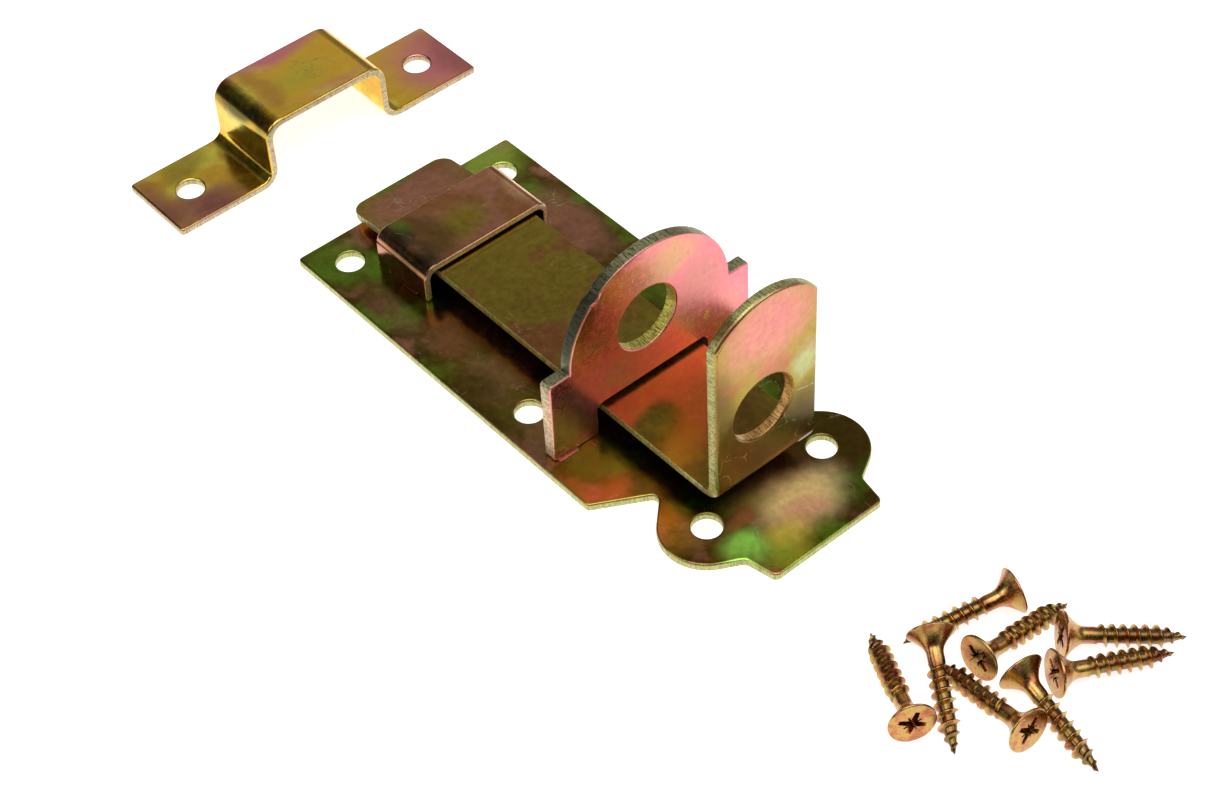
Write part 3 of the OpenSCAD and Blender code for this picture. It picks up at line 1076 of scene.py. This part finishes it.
def make_world():
    """A dim room round the table: near black low on the left, grey elsewhere."""
    world = bpy.data.worlds.new("room")
    bpy.context.scene.world = world
    world.use_nodes = True
    tree = world.node_tree
    tree.nodes.clear()
    coord = tree.nodes.new("ShaderNodeTexCoord")
    split = tree.nodes.new("ShaderNodeSeparateXYZ")
    side = tree.nodes.new("ShaderNodeMapRange")
    mix = tree.nodes.new("ShaderNodeMix")
    back = tree.nodes.new("ShaderNodeBackground")
    out = tree.nodes.new("ShaderNodeOutputWorld")
    tree.links.new(coord.outputs["Generated"], split.inputs[0])
    tree.links.new(split.outputs[1], side.inputs[0])
    # The left side of the room fades into the right one between these two directions' Y
    side.inputs[1].default_value = -0.15
    side.inputs[2].default_value = 0.2
    left = sky_ramp(tree, split.outputs[2], [
        (0.0, 0.5), (0.04, 0.04), (0.68, 0.03), (0.84, 0.2), (0.95, 0.25)])
    right = sky_ramp(tree, split.outputs[2], [
        (0.0, 0.5), (0.04, 0.15), (0.4, 0.2), (0.54, 0.3), (0.59, 0.75), (0.63, 0.66), (0.67, 0.19),
        (0.72, 0.17), (0.9, 0.25)])
    mix.data_type = "RGBA"
    tree.links.new(side.outputs[0], mix.inputs[0])
    tree.links.new(left, mix.inputs[6])
    tree.links.new(right, mix.inputs[7])
    tree.links.new(mix.outputs[2], back.inputs[0])
    tree.links.new(back.outputs[0], out.inputs[0])


def make_stage():
    make_camera()
    make_floor()
    make_world()
    make_light("overhead", (0.25, -0.15, 1.1), (0.03, 0, 0), (0.9, 0.9), 7.0)
    make_light("left", (-0.2, -0.9, 0.75), (0.03, 0, 0), (0.8, 0.5), 3.2)
    make_light("front_right", (0.53, 0.39, 0.65), (0.04, 0, 0), (0.5, 0.5), 1.2)
    scene = bpy.context.scene
    scene.view_settings.view_transform = "Standard"


# ------------------------------------------------------------------- assembly


def wear(obj, material, node, body):
    obj.data.materials.clear()
    obj.data.materials.append(material)
    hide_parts(node)
    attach(obj, body)


def plate_film_and_painted_reflection():
    return zinc("plate_zinc_film_and_painted_reflection", (MOSS, UMBER, MAUVE), [
        (OLIVE, (20, -18, 0), (30, 9, 0), 0.5),
        (GREEN, (-30, 18, 0), (9, 10, 0), 0.9),
        (MOSS, (-28, -20, 0), (11, 8, 0), 0.8),
        (MAUVE, (-6, 19, 0), (16, 7, 0), 0.8),
        (MAUVE, (-10, -21, 0), (12, 5, 0), 0.4),
        (BROWN, (2, -16, 0), (10, 6, 0), 0.8),
        (UMBER, (16, -21, 0), (8, 5, 0), 0.7),
        (MOSS, (22, 20, 0), (16, 7, 0), 0.7),
        (MOSS, (43, -18, 0), (9, 8, 0), 0.8),
        (OLIVE, (52, -18, 0), (6, 8, 0), 0.8),
        (OLIVE, (48, -25, 0), (9, 5, 0), 0.8),
        (UMBER, (62, 10, 0), (9, 20, 0), 0.9),
        (UMBER, (68, 18, 0), (11, 8, 0), 0.9),
        (GOLD, (64, -19, 0), (8, 7, 0), 0.5),
        (BROWN, (66, -2, 0), (6, 14, 0), 0.6),
        # HONEY, SALMON, STRAW, LIME and GREEN on the tip: film colours brightened into a painted
        # reflection of the lug, partly film colour and partly painted reflection
        (HONEY, (73, 3, 0), (8.5, 13, 0), 1.0),
        (SALMON, (76, 1, 0), (4, 8, 0), 0.5),
        (STRAW, (78.5, -5, 0), (5, 7, 0), 0.7),
        (LIME, (75, -12, 0), (6, 6, 0), 1.0),
        (BROWN, (69, -9, 0), (2.5, 5, 0), 0.8),
        (GREEN, (80, -8, 0), (3, 5, 0), 0.8),
    ], seed=3.0, scratches=0.5, edge=(0.56, 0.54, 0.20), haze=[((72, -2, 0), (12, 19, 0), 0.45)])


def bridge_film_and_painted_reflection():
    return zinc("bridge_zinc_film_and_painted_reflection", (BROWN, MAUVE, BROWN), [
        (OLIVE, (-14, -1, 9), (6, 8, 4), 1.0),
        (TAN, (-15, 13, 8), (9, 4, 3), 0.9),
        # UMBER and BLACK on the -Y shoulder: painted dark reflection, that side darkened where it faces
        # the dark side of the room
        (UMBER, (-16, -8, 9), (14, 6, 3), 0.75),
        (BLACK, (-15, -12, 8.5), (14, 4.5, 3), 0.9),
        (MOSS, (-20, -10, 9), (4, 3, 3), 0.6),
        (SALMON, (-15, -14.5, 4), (12, 3, 3), 0.8),
    ], seed=11.0, marks=0.9, edge=(0.60, 0.48, 0.28))


def staple_film_and_painted_light():
    hole = (38, LOCK_Y, LOCK_Z)
    return zinc("staple_zinc_film_and_painted_light", (CORAL, CORAL, SALMON), [
        (AMBER, (0, 4, 31), (0, 10, 7), 0.9),
        (ORANGE, (0, -7, 33), (0, 9, 4), 0.6),
        (BROWN, (0, -15, 29), (0, 4.5, 5), 0.8),
        (PLUM, (0, 12, 22), (0, 9, 10), 0.8),
        (SALMON, (0, 17, 12), (0, 7, 7), 0.7),
        (PLUM, (0, 19, 5), (0, 6, 6), 0.7),
        (OLIVE, (0, -18.5, 14), (0, 2.5, 3.5), 0.4),
        (BROWN, (0, -22, 14), (0, 3, 6), 0.3),
        (SALMON, (0, -20.5, 8), (0, 6, 9), 1.0),
        (STRAW, (0, 12, 13), (0, 1.5, 1.5), 0.5),
    ], seed=19.0, roughness=0.25, marks=0.3, scratches=0.2, tear=0.15, edge=(0.46, 0.44, 0.22), haze=[
        ((38, -8, 9), (4, 18, 14), 0.16),
    ], edge_patches=[
        # SAND on the -Y foot's edge is a painted highlight; BLACK and UMBER below are painted dark
        # reflections along the dome's edge on the -Y side and at its top
        (SAND, (37, -22.6, 10), (4, 3, 13), 0.9),
        (STRAW, hole, (12, 13, 13), 1.0),
        (BLACK, (37, -14, 29), (6, 18, 16), 1.0),
        (BLACK, (37, -17.5, 24), (4, 3, 2.5), 0.8),
        (UMBER, (37, 8, 35.5), (4, 6, 2), 0.6),
    ])


def bolt_film_and_painted_light():
    hole = (66, LOCK_Y, LOCK_Z)
    return zinc("bolt_zinc_film_and_painted_light", (OLIVE, OLIVE, BROWN), [
        (MAUVE, (-29, 0, 5), (9, 18, 8), 1.0),
        (MOSS, (-35.5, 0, 5), (2, 14, 6), 0.8),
        (BROWN, (20, 5, 7), (9, 9, 3), 0.5),
        # BROWN and UMBER on the run between the staple and the lug: partly film colour, partly painted
        # shade between the two parts
        (BROWN, (48, 4, 7), (18, 12, 3), 0.7),
        (UMBER, (51, 0, 7), (20, 16, 3), 0.6),
        (OLIVE, (47, -7, 7), (5, 5, 3), 0.9),
        (MAGENTA, (67, 1, 39.5), (6, 15, 12.5), 0.75),
        (UMBER, (67, -12, 27), (6, 7, 14), 0.9),
        (SAGE, (67, 0, 47), (6, 16, 2), 0.6),
        (SAGE, (67, 8.5, 26), (6, 4, 5), 0.8),
        (OLIVE, (67, 0, 24), (6, 10, 6), 0.5),
        # The three dark patches low on the lug: painted dark reflection, darker towards the lug's foot
        (UMBER, (67, -9, 16), (6, 8, 14), 1.0),
        (UMBER, (67, 4, 10), (6, 22, 13), 1.0),
        (DARK_REFLECTION, (67, 5, 11), (6, 22, 15), 0.85),
        (BROWN, (67, 4, 7), (6, 8, 2.5), 0.5),
    ], seed=27.0, tear=0.2, edge=(0.56, 0.54, 0.20), edge_patches=[
        (OLIVE, (20, 0, 6), (60, 30, 5), 0.7),
        (ORANGE, hole, (12, 13, 13), 0.9),
        (UMBER, (66, -8, 43), (4, 4.5, 3), 0.9),
    ])


def keeper_film_and_painted_light():
    return zinc("keeper_zinc_film_and_painted_light", (GOLD, GOLD, STRAW), [
        (MAGENTA, (-73, 0, 14), (5, 20, 6), 1.0),
        (GREEN, (-63, -2, 14), (5, 9, 5), 0.35),
        (MAGENTA, (-56.5, 3, 14), (3, 10, 5), 0.4),
        (BROWN, (-64, -9, 14), (12, 3.5, 4), 0.5),
        # painted dark reflection on the -Y upper bend of the arch
        (BLACK, (-64, -14.2, 12), (14, 3.5, 4), 0.9),
        (STRAW, (-66, -15, 8), (8, 3, 4), 0.6),
        # painted shade in the crease where the -Y leg meets its foot
        (BLACK, (-64, -17, 2), (14, 2.6, 3), 0.6),
        (MAGENTA, (-62, 31, 1), (17, 14, 5), 1.0),
        (MAUVE, (-58, -30, 1), (9, 10, 4), 1.0),
        (WINE, (-57, -26, 1), (6, 8, 4), 0.8),
        (WINE, (-64, -36, 1), (14, 5, 4), 0.8),
        (WINE, (-60, 34, 1), (16, 7, 4), 0.6),
        (OLIVE, (-71, -27, 1), (6, 8, 4), 0.7),
    ], seed=35.0, edge=(0.62, 0.50, 0.30))


make_stage()
wear(make_plate(), plate_film_and_painted_reflection(), "mounting_plate", "base")
wear(make_bridge(), bridge_film_and_painted_reflection(), "guide_bridge", "base")
wear(make_staple(), staple_film_and_painted_light(), "padlock_staple", "base")
wear(make_bolt(), bolt_film_and_painted_light(), "slide_bolt", "bolt")
wear(make_keeper(), keeper_film_and_painted_light(), "keeper", "base")
for number in range(1, 9):
    node = f"screw_{number}"
    wear(make_screw(number), screw_zinc_and_painted_light(f"{node}_film", number), node, "base")
